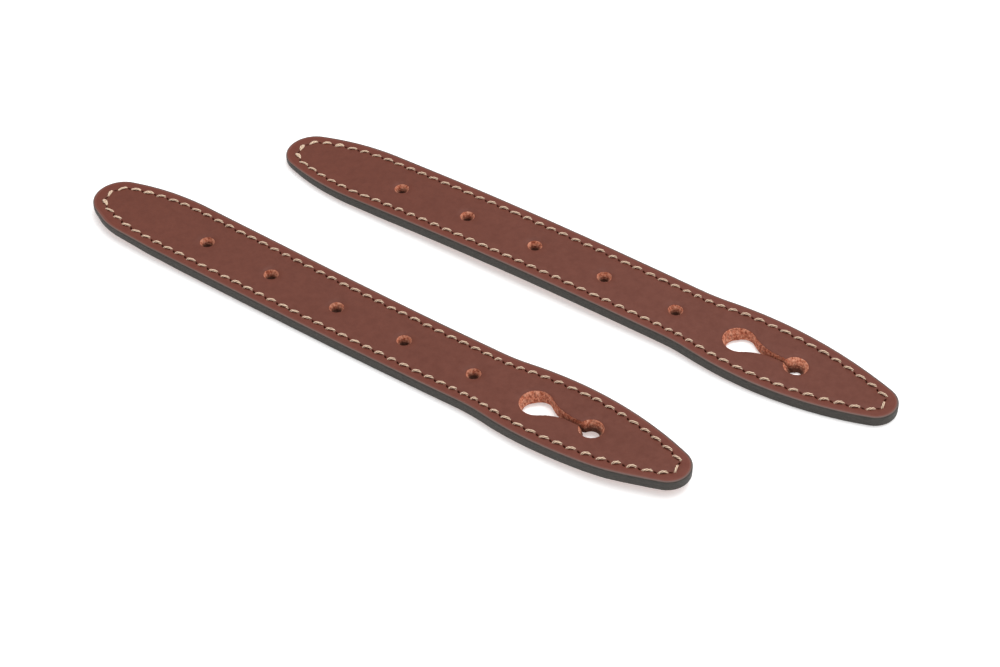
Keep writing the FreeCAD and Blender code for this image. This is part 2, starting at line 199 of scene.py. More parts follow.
def keyhole_loop(step):
    """The keyhole's edge, anticlockwise: entry circle, curved flank, slit and seat circle."""
    rise = NECK_HALF + FLANK_R
    run = math.sqrt((ENTRY_R + FLANK_R) ** 2 - rise**2)
    entry, seat = np.array([ENTRY_X, 0.0]), np.array([SEAT_X, 0.0])
    flank_c = entry + [run, rise]
    touch = entry + unit(flank_c - entry) * ENTRY_R
    slit_a = np.array([flank_c[0], NECK_HALF])
    slit_b = seat + [-math.sqrt(SEAT_R**2 - NECK_HALF**2), NECK_HALF]
    t0 = math.atan2(touch[1], touch[0] - ENTRY_X)
    t = np.linspace(math.pi, t0, 40)
    circle = entry + ENTRY_R * np.c_[np.cos(t), np.sin(t)]
    flank = arc_points(flank_c, FLANK_R, touch, slit_a, step)[1:]
    t1 = math.atan2(slit_b[1], slit_b[0] - SEAT_X)
    t = np.linspace(t1, 0, 40)
    end = seat + SEAT_R * np.c_[np.cos(t), np.sin(t)]
    return whole_loop(np.vstack([circle, flank, end]), step)


def inside(loop, points):
    """Which points lie inside a closed loop."""
    x, y = points[:, 0][:, None], points[:, 1][:, None]
    a, b = loop, np.roll(loop, -1, 0)
    cross = (a[:, 1] > y) != (b[:, 1] > y)
    with np.errstate(divide="ignore", invalid="ignore"):
        at = a[:, 0] + (y - a[:, 1]) * (b[:, 0] - a[:, 0]) / (b[:, 1] - a[:, 1])
    return (cross & (x < at)).sum(1) % 2 == 1


CHUNK = 400  # points measured at once, to save memory


def distance(points, line):
    """Distance from each point to the nearest of a line's points."""
    out = np.empty(len(points))
    for i in range(0, len(points), CHUNK):
        d = points[i : i + CHUNK, None, :] - line[None, :, :]
        out[i : i + CHUNK] = np.sqrt((d * d).sum(2).min(1))
    return out


# ---- the stitch line ----


def needle_ring():
    """Needle holes all round, in sewing order: out along the upper side, back along the lower one."""
    line = polyline(half_path(STITCH_SIDE, STITCH_TIP), 0.02)
    step = np.linalg.norm(np.diff(line, axis=0), axis=1)
    x = (line[1:, 0] + line[:-1, 0]) / 2
    pitch = PITCH - TUCK * np.exp(-(((x - TUCK_X) / TUCK_SPREAD) ** 2))
    count = np.r_[0, np.cumsum(step / pitch)]
    whole = int(round(count[-1]))
    at = (np.arange(whole) + 0.5) * count[-1] / whole
    upper = np.c_[np.interp(at, count, line[:, 0]), np.interp(at, count, line[:, 1])]
    return np.vstack([upper, (upper * [1, -1])[::-1]])


RING = needle_ring()
AHEAD = np.roll(RING, -1, 0) - np.roll(RING, 1, 0)
AHEAD /= np.linalg.norm(AHEAD, axis=1)[:, None]
LEFT = np.c_[-AHEAD[:, 1], AHEAD[:, 0]]

SLIT_TURN = math.radians(-30)  # each needle slit leans across the sewing direction
SLIT_LONG, SLIT_SHORT = 0.62, 0.2  # its half sizes
SLIT_RING, SLIT_CLEAR = 0.28, 0.26  # how far out a ring of plate points lies, and how far no other point does
SLIT_POINTS, HOLE_POINTS = 10, 40


def slit_axis(i):
    return AHEAD[i] * math.cos(SLIT_TURN) + LEFT[i] * math.sin(SLIT_TURN)


def slit_loop(i, grow=0.0):
    """One needle slit: a small leaning ellipse, anticlockwise."""
    u = slit_axis(i)
    v = np.array([-u[1], u[0]])
    t = angles(SLIT_POINTS)
    long, short = SLIT_LONG + grow, SLIT_SHORT + grow
    return RING[i] + np.cos(t)[:, None] * u * long + np.sin(t)[:, None] * v * short


# ---- meshes ----


def place(strap, points):
    """A strap's own millimetres to the frame's metres."""
    p = np.asarray(points, float)
    a = math.radians(strap["turn"])
    c, s = math.cos(a), math.sin(a)
    side = p[:, 1].copy()
    for station, spread, half, amount in strap["fuller"]:
        local = np.exp(-(((p[:, 0] - station) / spread) ** 2))
        side -= amount * local * np.clip(-p[:, 1] / half, 0, 1) ** 5
    ahead = p[:, 0] + strap["longer"] * np.clip((p[:, 0] - SEAT_X) / HEAD_RUN, 0, 1)
    x = strap["at"][0] + ahead * c - side * s
    y = strap["at"][1] + ahead * s + side * c
    along = np.clip(p[:, 0], 0, LENGTH)
    full = 1 - SKIVE * np.clip(1 - along / SKIVE_RUN, 0, 1) - SKIVE_TIP * np.exp(-along / SKIVE_TIP_RUN)
    z = THICK + (p[:, 2] - THICK) * full + np.polyval(strap["curve"], along)
    return np.c_[x, y, np.maximum(z, 0)] * MM


def make_mesh(name, strap, verts, faces, materials, face_material=None, floats=None):
    """A mesh piece in place, with each vertex's own-frame position kept for its material's texture."""
    mesh = bpy.data.meshes.new(name)
    mesh.from_pydata(place(strap, verts).tolist(), [], faces)
    mesh.polygons.foreach_set("use_smooth", np.ones(len(mesh.polygons), bool))
    for m in materials:
        mesh.materials.append(m)
    if face_material is not None:
        mesh.polygons.foreach_set("material_index", np.asarray(face_material, np.int32))
    rest = mesh.attributes.new("rest", "FLOAT_VECTOR", "POINT")
    shift = [0.0, 0.0 if strap is STRAPS["near"] else TEXTURE_SHIFT, 0.0]
    rest.data.foreach_set("vector", (np.asarray(verts, float) + shift).astype(np.float32).ravel())
    for key, values in (floats or {}).items():
        layer = mesh.attributes.new(key, "FLOAT", "POINT")
        layer.data.foreach_set("value", np.asarray(values, np.float32))
    mesh.validate()
    mesh.update()
    obj = bpy.data.objects.new(name, mesh)
    bpy.context.scene.collection.objects.link(obj)
    return obj


def thin_out(points, gap):
    """Drop points closer than about a gap to an earlier one."""
    seen, keep = set(), []
    for i, (x, y) in enumerate(points):
        cell = (round(x / gap), round(y / gap))
        if cell not in seen:
            seen.add(cell)
            keep.append(i)
    return points[keep]


def triangulate(outer, holes, inner):
    """Triangles over a plate with holes. Points are numbered: outer, then each hole, then inner."""
    loops = [outer] + holes
    points, edges = [], []
    for loop in loops:
        first = len(points)
        points += [Vector(p) for p in loop]
        n = len(loop)
        edges += [(first + k, first + (k + 1) % n) for k in range(n)]
    points += [Vector(p) for p in inner]
    out, _, tris, origin, _, _ = delaunay_2d_cdt(points, edges, [], 1, 1e-7)
    number = [o[0] if o else None for o in origin]
    flat = np.array([p[:] for p in out])
    tris = np.array([t for t in tris if len(t) == 3])
    middle = flat[tris].mean(1)
    keep = inside(outer, middle)
    for hole in holes:
        lo, hi = hole.min(0), hole.max(0)
        near = np.flatnonzero(keep & (middle > lo).all(1) & (middle < hi).all(1))
        if len(near):
            keep[near[inside(hole, middle[near])]] = False
    return [tuple(number[k] for k in t) for t in tris[keep]]


def wobble(rng, n, size, waves):
    """A smooth random closed profile, n long."""
    t = angles(n)
    out = np.zeros(n)
    for k in range(1, waves + 1):
        out += rng.normal() * np.cos(k * t) / k**0.5 + rng.normal() * np.sin(k * t) / k**0.5
    return out * size / math.sqrt(waves)


OUTLINE = whole_loop(polyline(half_path(0, 0), 0.1), 0.55)
OUTLINE_N = outward(OUTLINE)
STITCH_LINE = whole_loop(polyline(half_path(STITCH_SIDE, STITCH_TIP), 0.1), 0.25)
KEYHOLE = keyhole_loop(0.36)


def round_hole(x):
    t = angles(HOLE_POINTS)
    return np.c_[x + HOLE_R * np.cos(t), HOLE_R * np.sin(t)]


CUTS = [round_hole(x) for x in HOLES] + [KEYHOLE]

# the points inside a plate: the loose grid's steps and reach, the least gap, and what is kept clear of points
GRID_X, GRID_Y, GRID_REACH = 1.5, 1.3, 14
POINT_GAP = 0.42
EDGE_CLEAR, CUT_CLEAR, NEEDLE_NEAR = 0.8, 0.55, 1.2


def plate_points():
    """Inner points of a leather plate: a loose grid, with closer rows by stitches, holes and edge."""
    rows = []
    for cut in CUTS:
        n = outward(cut)
        for off in (0.62, 1.0, 1.6):
            rows.append(cut + n * off)
    stitch_n = outward(STITCH_LINE)
    for off in (0.0, 0.8, -0.8, 1.35, -1.35):
        rows.append((STITCH_LINE + stitch_n * off)[::2])
    for off in (0.95, 1.45):
        rows.append(OUTLINE - OUTLINE_N * off)
    xs = np.arange(0, LENGTH, GRID_X)
    ys = np.arange(-GRID_REACH, GRID_REACH + 0.1, GRID_Y)
    rows.append(np.array([(x + (GRID_X / 2 if j % 2 else 0), y) for j, y in enumerate(ys) for x in xs]))
    points = thin_out(np.vstack(rows), POINT_GAP)
    points = points[inside(OUTLINE - OUTLINE_N * EDGE_CLEAR, points)]
    for cut in CUTS:
        points = points[~inside(cut + outward(cut) * CUT_CLEAR, points)]
    slits = np.vstack([slit_loop(i, SLIT_RING) for i in range(len(RING))])
    near = distance(points, RING) < NEEDLE_NEAR
    keep = ~near
    for k in np.flatnonzero(near):
        i = int(np.argmin(((RING - points[k]) ** 2).sum(1)))
        u = slit_axis(i)
        v = np.array([-u[1], u[0]])
        d = points[k] - RING[i]
        keep[k] = ((d @ u) / (SLIT_LONG + SLIT_CLEAR)) ** 2 + ((d @ v) / (SLIT_SHORT + SLIT_CLEAR)) ** 2 > 1
    return np.vstack([points[keep], slits])


INNER = plate_points()


def swell(points):
    """A slight unevenness of the hide."""
    x, y = points[:, 0], points[:, 1]
    return 0.035 * np.sin(x * 0.11 + 0.6) * np.sin(y * 0.21 + x * 0.043)


# how deep the top surface is pressed, and how far that reaches
HOLE_DIP, KEYHOLE_DIP, SEAM_DIP, NEEDLE_DIP = (0.24, 0.85), (0.14, 0.7), (0.10, 0.75), (0.15, 0.8)
EDGE_DIP = (0.10, 0.5)


def relief(points):
    """How far the top surface is pressed down: round the cuts, along the stitches and towards the edge."""
    dips = [(cut, HOLE_DIP) for cut in CUTS[:-1]]
    dips += [(KEYHOLE, KEYHOLE_DIP), (STITCH_LINE, SEAM_DIP), (RING, NEEDLE_DIP)]
    drop = np.zeros(len(points))
    for line, (depth, reach) in dips:
        drop += depth * np.exp(-((distance(points, line) / reach) ** 2))
    depth, reach = EDGE_DIP
    return drop + depth * np.exp(-distance(points, OUTLINE) / reach) + swell(points)


def narrowing(cut, strap):
    """How much of the walls' inward lean each point of a cut takes.

    It is most on the side away from the camera and little in the slit.
    """
    n = outward(cut)
    leaning = n @ FAR_WAY
    far = np.maximum(leaning, 0)
    right = np.maximum(n @ RIGHT_WAY, 0)
    x = cut[:, 0]
    if x.mean() < ENTRY_X - ENTRY_R:
        return strap["lean"][0] + 0.25 * far
    entry = np.maximum(0.82 + 0.7 * far - 0.95 * right, 0.15)
    entry = np.where((n[:, 1] < 0) & (x > ENTRY_X + 3), SLIT_LEAN, entry)
    seat = strap["lean"][1] + strap["lean"][2] * leaning
    to_slit = np.clip((x - ENTRY_X - 6) / 3, 0, 1)
    to_seat = np.clip((x - SLIT_X - SLIT_RUN) / 0.45, 0, 1)
    return entry * (1 - to_slit) + SLIT_LEAN * to_slit * (1 - to_seat) + seat * to_seat


SMOOTH, CUT = 0, 1  # a plate's materials: its own finish, and raw leather
CUT_ROUGH = 0.05  # how uneven the raw walls are

# the edge film's section: (how far in from the outline, height above the underside), in a closed loop
FILM = [
    (0.60, 3.26), (0.46, 3.375), (0.32, 3.385), (0.20, 3.38), (0.10, 3.36), (0.02, 3.31), (-0.06, 3.23),
    (-0.11, 3.12), (-0.15, 2.95), (-0.16, 2.2), (-0.14, 1.62), (-0.16, 1.0), (-0.13, 0.45), (-0.06, 0.22),
    (0.08, 0.07), (0.34, 0.0), (0.5, 0.03), (0.52, 0.5), (0.6, 2.6),
]
FILM_TOP = 2.9  # above this height the film follows the hide's unevenness, and is narrower round the tail
LONG_WAVE, RAGGED = (0.018, 60), (0.05, 90)  # the film's unevenness: size and number of waves


def rim_share(points):
    """The painted rim is narrower round the tail."""
    return 1 - 0.45 * np.exp(-((points[:, 0] / 11) ** 2))


def plate(name, strap, rng, walls, heights, leather):
    """A leather layer: top and under faces over one triangulation, with rows of wall round each loop.

    A row is (how far out into the leather, share of the way down, is it raw). A loop is (its points, their
    normals into the leather, its rows, how rough they are, each point's share of a row's distance).
    """
    outer_rows, cut_rows = walls
    top_of, under_of = heights
    loops = [(OUTLINE, -OUTLINE_N, outer_rows, 0.0, rim_share(OUTLINE))]
    for cut in CUTS:
        loops.append((cut, outward(cut), cut_rows, CUT_ROUGH, narrowing(cut, strap)))
    for i in range(len(RING)):
        loop = slit_loop(i)
        loops.append((loop, outward(loop), SLIT_DOWN, 0.0, np.ones(len(loop))))

    def moved(loop, n, off, share):
        full = off * share if off < 0 or loop is OUTLINE else np.full(len(loop), off)
        return loop + n * full[:, None]

    mouth = [moved(loop, n, rows[0][0], share) for loop, n, rows, _, share in loops]
    foot = [moved(loop, n, rows[-1][0], share) for loop, n, rows, _, share in loops]
    tris = triangulate(mouth[0], mouth[1:], INNER)
    flat_top = np.vstack(mouth + [INNER])
    flat_foot = np.vstack(foot + [INNER])
    top_z = top_of(flat_top)
    foot_z = under_of(flat_foot)
    count = len(flat_top)
    verts = [np.c_[flat_top, top_z], np.c_[flat_foot, foot_z]]
    faces = list(tris) + [tuple(k + count for k in t[::-1]) for t in tris]
    kinds = [SMOOTH] * (2 * len(tris))
    total, first = 2 * count, 0
    for index, (loop, n, rows, rough, share) in enumerate(loops):
        size = len(loop)
        z0 = top_z[first : first + size]
        z1 = foot_z[first : first + size]
        rings = [np.arange(first, first + size)]
        tremble = wobble(rng, size, rough, 9)
        for off, t, _ in rows[1:-1]:
            jitter = (rng.normal(0, rough * 0.6, size) + tremble) * (1 - 0.6 * t) / (0.5 + share)
            flat = moved(loop, n, off, share) + n * jitter[:, None]
            verts.append(np.c_[flat, z0 + (z1 - z0) * t])
            rings.append(np.arange(total, total + size))
            total += size
        rings.append(np.arange(count + first, count + first + size))
        for k in range(len(rings) - 1):
            a, b = rings[k], rings[k + 1]
            for j in range(size):
                m = (j + 1) % size
                if index == 0:
                    faces.append((a[m], a[j], b[j], b[m]))
                else:
                    faces.append((a[j], a[m], b[m], b[j]))
                kinds.append(CUT if rows[k + 1][2] else SMOOTH)
        first += size
    verts = np.vstack(verts)
    faces = [tuple(int(k) for k in f) for f in faces]
    # for the materials: how near the edge (for a painted highlight), a needle hole (for painted shade) and
    # the outer strip are, and how narrow the cut is (how much painted shade lies low in it)
    from_edge = distance(verts[:, :2], OUTLINE)
    x = verts[:, 0]
    floats = {
        "edge": np.exp(-from_edge / 0.55),
        # painted shade round the needle holes
        "needle_shade": np.exp(-((distance(verts[:, :2], RING) / 0.5) ** 2)),
        "margin": np.clip((3.3 - from_edge) / 1.2, 0, 1),
        "narrow_cut_shade": np.where(x < ENTRY_X - ENTRY_R - 1, 1.0, 0.2 + 0.75 * np.clip((x - ENTRY_X - 5) / 6, 0, 1)),
    }
    return make_mesh(name, strap, verts, faces, [leather, RAW], kinds, floats)


def edge_band(name, strap, rng, material):
    """The painted edge: a closed film with rounded corners, from the top rim to the underside."""
    n = len(OUTLINE)
    verts = []
    long_wave = wobble(rng, n, *LONG_WAVE)
    ragged = wobble(rng, n, *RAGGED)
    for inset, z in FILM:
        rough = rng.normal(0, 0.010, n) + long_wave
        show = 1.0 if inset < 0.15 else 0.3
        wide = inset * (rim_share(OUTLINE) if z > FILM_TOP or inset < 0 else 1.0)
        flat = OUTLINE - OUTLINE_N * (wide + np.clip(rough, -0.05, 0.05) * show)[:, None]
        foot = (rng.normal(0, 0.012, n) + ragged) * (0.0 < z < 0.5)
        hide = swell(flat) if z > FILM_TOP else 0.0
        if inset > 0.4 and z > 3:
            flat = flat - OUTLINE_N * ragged[:, None]
        verts.append(np.c_[flat, np.maximum(z + foot - hide, 0.0)])
    rows = len(FILM)
    faces = []
    for k in range(rows):
        a, b = k * n, ((k + 1) % rows) * n
        for j in range(n):
            m = (j + 1) % n
            faces.append((a + m, a + j, b + j, b + m))
    return make_mesh(name, strap, np.vstack(verts), faces, [material])


# ---- thread ----


def smooth_line(points, n):
    """n even points along a Catmull-Rom curve through some points."""
    p = np.vstack([2 * points[0] - points[1], points, 2 * points[-1] - points[-2]])
    out = []
    for i in range(1, len(p) - 2):
        t = np.linspace(0, 1, 8, endpoint=False)[:, None]
        a, b, c, d = p[i - 1], p[i], p[i + 1], p[i + 2]
        out.append(0.5 * (2 * b + (c - a) * t + (2 * a - 5 * b + 4 * c - d) * t**2
                          + (3 * b - a - 3 * c + d) * t**3))
    out = np.vstack(out + [points[-1:]])
    reach = np.r_[0, np.cumsum(np.linalg.norm(np.diff(out, axis=0), axis=1))]
    s = np.linspace(0, reach[-1], n)
    return np.stack([np.interp(s, reach, out[:, k]) for k in range(3)], 1), s


PLIES = 3
PLY_OUT, PLY_SIZE = 0.6, 0.48  # how far out a ply lies and its radius, as shares of the thread's radius
NEEDLE_SIDES, BOBBIN_SIDES = 7, 6


class Tubes:
    """Twisted plies gathered into one mesh."""

    def __init__(self):
        self.verts, self.faces, self.crown, self.total = [], [], [], 0

    def ply(self, line, radius, sides, axis):
        """One ply: a round tube with closed ends. Its crown values are distances from the thread's axis."""
        t = np.gradient(line, axis=0)
        t /= np.linalg.norm(t, axis=1)[:, None]
        side = np.cross(t, [0.0, 0.0, 1.0])
        # where a line runs nearly upright, its side direction comes from the nearest point where it doesn't
        upright = np.linalg.norm(side, axis=1) < 0.25
        good = np.flatnonzero(~upright)
        for k in np.flatnonzero(upright):
            side[k] = side[good[np.argmin(abs(good - k))]]
        side -= t * (side * t).sum(1)[:, None]
        side /= np.linalg.norm(side, axis=1)[:, None]
        over = np.cross(side, t)
        a = angles(sides)
        ring = np.cos(a)[None, :, None] * side[:, None, :] + np.sin(a)[None, :, None] * over[:, None, :]
        verts = (line[:, None, :] + ring * radius).reshape(-1, 3)
        n = len(line)
        base = self.total
        for i in range(n - 1):
            for j in range(sides):
                m = (j + 1) % sides
                self.faces.append((base + i * sides + j, base + (i + 1) * sides + j,
                                   base + (i + 1) * sides + m, base + i * sides + m))
        self.faces.append(tuple(base + j for j in range(sides)))
        self.faces.append(tuple(base + (n - 1) * sides + j for j in range(sides))[::-1])
        self.verts.append(verts)
        self.crown.append(np.linalg.norm(verts - np.repeat(axis, sides, 0), axis=1))
        self.total += n * sides

    def twist(self, line, s, radius, phase, pitch, sides):
        """Plies that wind round a line."""
        t = np.gradient(line, axis=0)
        t /= np.linalg.norm(t, axis=1)[:, None]
        ref = unit(line[-1] - line[0])
        across = unit(np.cross(ref, [0, 0, 1.0]))
        side = across - t * (t @ across)[:, None]
        side /= np.linalg.norm(side, axis=1)[:, None]
        over = np.cross(side, t)
        for k in range(PLIES):
            a = phase + 2 * math.pi * (k / PLIES + s / pitch)
            centre = line + radius * PLY_OUT * (np.cos(a)[:, None] * side + np.sin(a)[:, None] * over)
            self.ply(centre, radius * PLY_SIZE, sides, line)


# a stitch starts this far past a needle hole's middle and to the right of it, and ends as far before the next
# hole's and to the left
STITCH_ON, STITCH_ASIDE = 1.16, 0.4
# the threads' sizes: how high a stitch arches, the radius, and the length in which the plies wind once round
STITCH_HEIGHT, NEEDLE_RADIUS, NEEDLE_LAY = 0.38, 0.33, 3.3
BOBBIN_RADIUS, BOBBIN_LAY = 0.37, 2.8


def top_stitch(tubes, rng, a, b, lean_a, lean_b, shift):
    """One arched stitch that rises out of the slit at a and dives into the slit at b."""
    start = RING[a] + (AHEAD[a] * STITCH_ON - LEFT[a] * STITCH_ASIDE) * lean_a
    end = RING[b] - (AHEAD[b] * STITCH_ON - LEFT[b] * STITCH_ASIDE) * lean_b
    chord = end - start
    span = np.linalg.norm(chord)
    ahead = chord / span
    left = np.array([-ahead[1], ahead[0]])
    bow = rng.normal(0, 0.08) + shift
    peak = STITCH_HEIGHT * (1 + rng.normal(0, 0.18))
    # (distance along the stitch, height above the leather)
    marks = [
        (-0.42, -1.3), (-0.24, -0.6), (-0.02, -0.1),
        (span * 0.14, peak * 0.6), (span * 0.32, peak * 0.92), (span * 0.5, peak),
        (span * 0.68, peak * 0.94), (span * 0.86, peak * 0.62),
        (span + 0.02, -0.08), (span + 0.24, -0.6), (span + 0.42, -1.3),
    ]
    points = []
    for s, z in marks:
        w = math.sin(math.pi * min(max(s / span, 0), 1))
        flat = start + ahead * s + left * bow * w
        points.append([flat[0], flat[1], THICK + z])
    line, s = smooth_line(np.array(points), 26)
    phase = rng.uniform(0, 2 * math.pi)
    tubes.twist(line, s, NEEDLE_RADIUS, phase, NEEDLE_LAY + rng.normal(0, 0.15), NEEDLE_SIDES)


# stitches sewn twice, where the seam starts and ends: number, and how far each of the two bows to its side
DOUBLED = {96: 0.32, 97: 0.34, 0: 0.12, 1: 0.10, 2: 0.27}


def thread_mesh(name, strap, tubes, material):
    crown = np.concatenate(tubes.crown)
    return make_mesh(name, strap, np.vstack(tubes.verts), tubes.faces, [material], floats={"crown": crown})


def needle_thread(name, strap, rng, material):
    tubes = Tubes()
    n = len(RING)
    for i in range(n):
        j = (i + 1) % n
        spread = DOUBLED.get(i, 0.0)
        ways = (1, -1) if spread else (0,)
        for way in ways:
            top_stitch(tubes, rng, i, j, 1 + rng.normal(0, 0.1), 1 + rng.normal(0, 0.1), way * spread)
    return thread_mesh(name, strap, tubes, material)


def bobbin_thread(name, strap, rng, material):
    """The flatter stitches in the groove under the lining."""
    # (share of the way along the stitch, height above the underside)
    marks = [(0.0, 1.5), (0.02, 0.95), (0.14, 0.52), (0.5, 0.44), (0.86, 0.52), (0.98, 0.95), (1.0, 1.5)]
    tubes = Tubes()
    n = len(RING)
    for i in range(n):
        j = (i + 1) % n
        start = RING[i] + AHEAD[i] * 0.15
        end = RING[j] - AHEAD[j] * 0.15
        chord = end - start
        points = np.array([[*(start + chord * s), z] for s, z in marks])
        line, s = smooth_line(points, 16)
        tubes.twist(line, s, BOBBIN_RADIUS, rng.uniform(0, 2 * math.pi), BOBBIN_LAY, BOBBIN_SIDES)
    return thread_mesh(name, strap, tubes, material)


# ---- materials ----


def srgb(r, g, b):
    """A colour given as 0-255 display values, as linear light."""
    out = []
    for c in (r, g, b):
        c /= 255
        out.append(c / 12.92 if c <= 0.04045 else ((c + 0.055) / 1.055) ** 2.4)
    return (*out, 1.0)


class Nodes:
    """A short way to write a node material."""

    def __init__(self, name):
        self.material = bpy.data.materials.new(name)
        self.material.use_nodes = True
        self.tree = self.material.node_tree
        self.shader = self.tree.nodes["Principled BSDF"]

    def new(self, kind, **values):
        node = self.tree.nodes.new(kind)
        for key, value in values.items():
            setattr(node, key, value)
        return node

    def link(self, a, b):
        self.tree.links.new(a, b)

    def rest(self):
        """Where a point lies in its strap's own frame, in mm."""
        return self.new("ShaderNodeAttribute", attribute_name="rest").outputs["Vector"]

    def height(self, rest):
        split = self.new("ShaderNodeSeparateXYZ")
        self.link(rest, split.inputs[0])
        return split.outputs["Z"]

    def value(self, name):
        return self.new("ShaderNodeAttribute", attribute_name=name).outputs["Fac"]

    def noise(self, coords, scale, detail=4.0, rough=0.55):
        node = self.new("ShaderNodeTexNoise")
        node.inputs["Scale"].default_value = scale
        node.inputs["Detail"].default_value = detail
        node.inputs["Roughness"].default_value = rough
        self.link(coords, node.inputs["Vector"])
        return node.outputs["Fac"]

    def stretch(self, coords, scale):
        node = self.new("ShaderNodeVectorMath", operation="MULTIPLY")
        node.inputs[1].default_value = scale
        self.link(coords, node.inputs[0])
        return node.outputs[0]

    def remap(self, value, a, b, c, d):
        """A value's range a to b, mapped to c to d and held there."""
        node = self.new("ShaderNodeMapRange")
        for key, v in (("From Min", a), ("From Max", b), ("To Min", c), ("To Max", d)):
            node.inputs[key].default_value = v
        self.link(value, node.inputs["Value"])
        return node.outputs["Result"]

    def times(self, a, b):
        node = self.new("ShaderNodeMath", operation="MULTIPLY")
        self.link(a, node.inputs[0])
        self.link(b, node.inputs[1])
        return node.outputs[0]

    def mix(self, factor, a, b):
        node = self.new("ShaderNodeMix", data_type="RGBA")
        for socket, v in ((node.inputs["Factor"], factor), (node.inputs[6], a), (node.inputs[7], b)):
            if isinstance(v, (int, float, tuple)):
                socket.default_value = v
            else:
                self.link(v, socket)
        return node.outputs[2]

    def bump(self, heights):
        """Bump maps one after another: (height, strength, distance in metres)."""
        normal = None
        for height, strength, distance_m in heights:
            node = self.new("ShaderNodeBump")
            node.inputs["Strength"].default_value = strength
            node.inputs["Distance"].default_value = distance_m
            self.link(height, node.inputs["Height"])
            if normal is not None:
                self.link(normal, node.inputs["Normal"])
            normal = node.outputs["Normal"]
        self.link(normal, self.shader.inputs["Normal"])

    def set(self, **values):
        for key, value in values.items():
            socket = self.shader.inputs[key.replace("_", " ")]
            if isinstance(value, (int, float, tuple)):
                socket.default_value = value
            else:
                self.link(value, socket)
        return self.material


def grained_leather(name, base, light, dark):
    """Smooth finished leather: fine grain, slight mottling, a painted highlight as a paler rim, and painted
    shade round the needle holes.
    """
    m = Nodes(name)
    rest = m.rest()
    cloud = m.noise(rest, 0.055, 5.0, 0.6)
    mottle = m.noise(rest, 0.45, 6.0, 0.62)
    grain = m.noise(rest, 4.2, 5.0, 0.6)
    colour = m.mix(m.remap(cloud, 0.3, 0.7, 0.0, 0.55), base, light)
    colour = m.mix(m.remap(mottle, 0.38, 0.68, 0.0, 0.42), colour, dark)
    colour = m.mix(m.remap(grain, 0.35, 0.7, 0.0, 0.28), colour, dark)
    # painted highlight: paler near the edge, where the rounded rim catches the light
    colour = m.mix(m.remap(m.value("edge"), 0.16, 0.3, 0.0, 0.35), colour, srgb(142, 100, 90))
    colour = m.mix(m.remap(m.value("margin"), 0.0, 1.0, 0.0, 0.28), colour, srgb(120, 56, 44))
    # painted shade: darker round the needle holes
    colour = m.mix(m.remap(m.value("needle_shade"), 0.35, 0.95, 0.0, 0.5), colour, srgb(70, 32, 22))
    pores = m.new("ShaderNodeTexVoronoi", feature="F1", distance="EUCLIDEAN")
    pores.inputs["Scale"].default_value = 2.6
    m.link(rest, pores.inputs["Vector"])
    rough = m.remap(mottle, 0.3, 0.7, 0.44, 0.56)
    m.bump([(pores.outputs["Distance"], 0.10, 0.0001), (grain, 0.28, 0.00012), (mottle, 0.16, 0.0004)])
    return m.set(Base_Color=colour, Roughness=rough, Specular_IOR_Level=0.2)


def raw_leather(name, base, light, dark):
    """Cut leather: fibrous, dry and uneven, with painted shade low down in the narrow cuts."""
    m = Nodes(name)
    rest = m.rest()
    fibre = m.noise(m.stretch(rest, (1.0, 1.0, 0.7)), 1.7, 6.0, 0.72)
    clump = m.noise(rest, 0.9, 4.0, 0.6)
    colour = m.mix(m.remap(fibre, 0.40, 0.54, 0.0, 1.0), dark, base)
    colour = m.mix(m.remap(fibre, 0.54, 0.64, 0.0, 0.9), colour, light)
    colour = m.mix(m.remap(clump, 0.45, 0.7, 0.0, 0.55), colour, light)
    low = m.remap(m.height(rest), 2.5, 1.1, 0.0, 0.95)
    # painted shade: darker low down in the narrow cuts
    colour = m.mix(m.times(low, m.value("narrow_cut_shade")), colour, srgb(48, 24, 17))
    m.bump([(fibre, 0.7, 0.00025), (clump, 0.5, 0.0004)])
    return m.set(Base_Color=colour, Roughness=0.92, Specular_IOR_Level=0.2, Sheen_Weight=0.25,
                 Sheen_Roughness=0.5, Sheen_Tint=light)


def painted_edge(name):
    """Charcoal edge paint: matt, with faint lengthwise streaks, darker towards the underside, and a painted
    highlight as a paler line at the rim.
    """
    m = Nodes(name)
    rest = m.rest()
    streak = m.noise(m.stretch(rest, (0.35, 0.35, 3.0)), 1.4, 5.0, 0.6)
    speck = m.noise(rest, 3.4, 4.0, 0.6)
    colour = m.mix(m.remap(streak, 0.3, 0.7, 0.0, 1.0), srgb(48, 45, 42), srgb(71, 67, 62))
    colour = m.mix(m.remap(speck, 0.5, 0.75, 0.0, 0.4), colour, srgb(88, 82, 76))
    height = m.height(rest)
    colour = m.mix(m.remap(height, 0.45, 0.05, 0.0, 0.6), colour, srgb(40, 36, 34))
    # painted highlight: a paler line at the top of the rim, where the rounded corner catches the light
    colour = m.mix(m.remap(height, 3.28, 3.38, 0.0, 0.5), colour, srgb(142, 108, 100))
    m.bump([(streak, 0.25, 0.0002), (speck, 0.25, 0.00012)])
    return m.set(Base_Color=colour, Roughness=0.6, Specular_IOR_Level=0.3)


def beige_thread(name):
    """Waxed sewing thread: fine fibres, and painted shade between the plies."""
    m = Nodes(name)
    rest = m.rest()
    fuzz = m.noise(rest, 6.5, 4.0, 0.65)
    tone = m.noise(rest, 0.7, 3.0, 0.5)
    colour = m.mix(m.remap(fuzz, 0.35, 0.7, 0.0, 1.0), srgb(246, 207, 171), srgb(255, 241, 217))
    colour = m.mix(m.remap(tone, 0.4, 0.7, 0.0, 0.4), colour, srgb(248, 216, 194))
    # painted shade: darker in the valleys between the plies
    colour = m.mix(m.remap(m.value("crown"), 0.33, 0.2, 0.0, 0.9), colour, srgb(132, 88, 66))
    m.bump([(fuzz, 0.5, 0.00012)])
    return m.set(Base_Color=colour, Roughness=0.72, Specular_IOR_Level=0.3, Sheen_Weight=0.3,
                 Sheen_Roughness=0.4)


